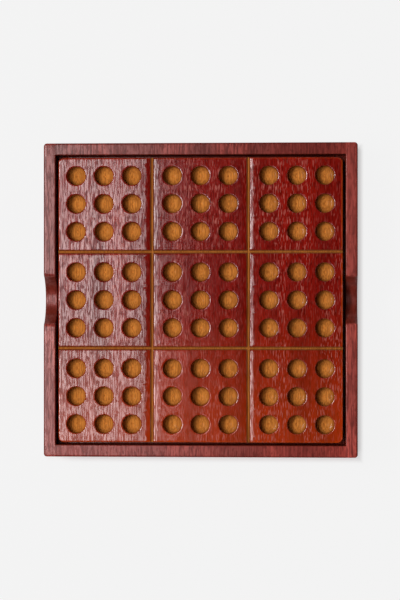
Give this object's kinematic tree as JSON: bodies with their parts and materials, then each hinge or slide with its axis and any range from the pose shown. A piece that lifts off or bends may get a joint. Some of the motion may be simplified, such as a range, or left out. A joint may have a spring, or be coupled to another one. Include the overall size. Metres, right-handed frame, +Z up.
{
  "type": "sudoku board",
  "caption": "Square wooden sudoku box with finger notches in two walls, a lift-out play board of blind peg holes and block grooves, and number pegs stored underneath.",
  "frame": {"origin": "middle of the box's underside", "axes": "+X to the right and +Y to the back, as the picture shows the board from above, and +Z up"},
  "size_m": [0.18, 0.18, 0.04],
  "materials": {
    "rim_wood": "satin",
    "board_wood": "satin",
    "bare_wood": "matte",
    "peg_wood": "satin"
  },
  "bodies": {
    "box": {"left_wall": "rim_wood", "right_wall": "rim_wood", "front_wall": "rim_wood", "back_wall": "rim_wood", "base_panel": "bare_wood", "ledge_left": "rim_wood", "ledge_right": "rim_wood", "ledge_front": "rim_wood", "ledge_back": "rim_wood"},
    "board": {"play_board": "board_wood"},
    "peg_row_1": {"pegs_1": "peg_wood"},
    "peg_row_2": {"pegs_2": "peg_wood"},
    "peg_row_3": {"pegs_3": "peg_wood"},
    "peg_row_4": {"pegs_4": "peg_wood"},
    "peg_row_5": {"pegs_5": "peg_wood"},
    "peg_row_6": {"pegs_6": "peg_wood"},
    "peg_row_7": {"pegs_7": "peg_wood"},
    "peg_row_8": {"pegs_8": "peg_wood"},
    "peg_row_9": {"pegs_9": "peg_wood"}
  },
  "joints": [
    {"name": "board_lift", "type": "slide", "parent": "box", "child": "board", "axis": [0, 0, 1], "range_m": [0, 0.1]},
    {"name": "peg_row_1_lift", "type": "slide", "parent": "box", "child": "peg_row_1", "axis": [0, 0, 1], "range_m": [0, 0.0055]},
    {"name": "peg_row_2_lift", "type": "slide", "parent": "box", "child": "peg_row_2", "axis": [0, 0, 1], "range_m": [0, 0.0055]},
    {"name": "peg_row_3_lift", "type": "slide", "parent": "box", "child": "peg_row_3", "axis": [0, 0, 1], "range_m": [0, 0.0055]},
    {"name": "peg_row_4_lift", "type": "slide", "parent": "box", "child": "peg_row_4", "axis": [0, 0, 1], "range_m": [0, 0.0055]},
    {"name": "peg_row_5_lift", "type": "slide", "parent": "box", "child": "peg_row_5", "axis": [0, 0, 1], "range_m": [0, 0.0055]},
    {"name": "peg_row_6_lift", "type": "slide", "parent": "box", "child": "peg_row_6", "axis": [0, 0, 1], "range_m": [0, 0.0055]},
    {"name": "peg_row_7_lift", "type": "slide", "parent": "box", "child": "peg_row_7", "axis": [0, 0, 1], "range_m": [0, 0.0055]},
    {"name": "peg_row_8_lift", "type": "slide", "parent": "box", "child": "peg_row_8", "axis": [0, 0, 1], "range_m": [0, 0.0055]},
    {"name": "peg_row_9_lift", "type": "slide", "parent": "box", "child": "peg_row_9", "axis": [0, 0, 1], "range_m": [0, 0.0055]}
  ]
}
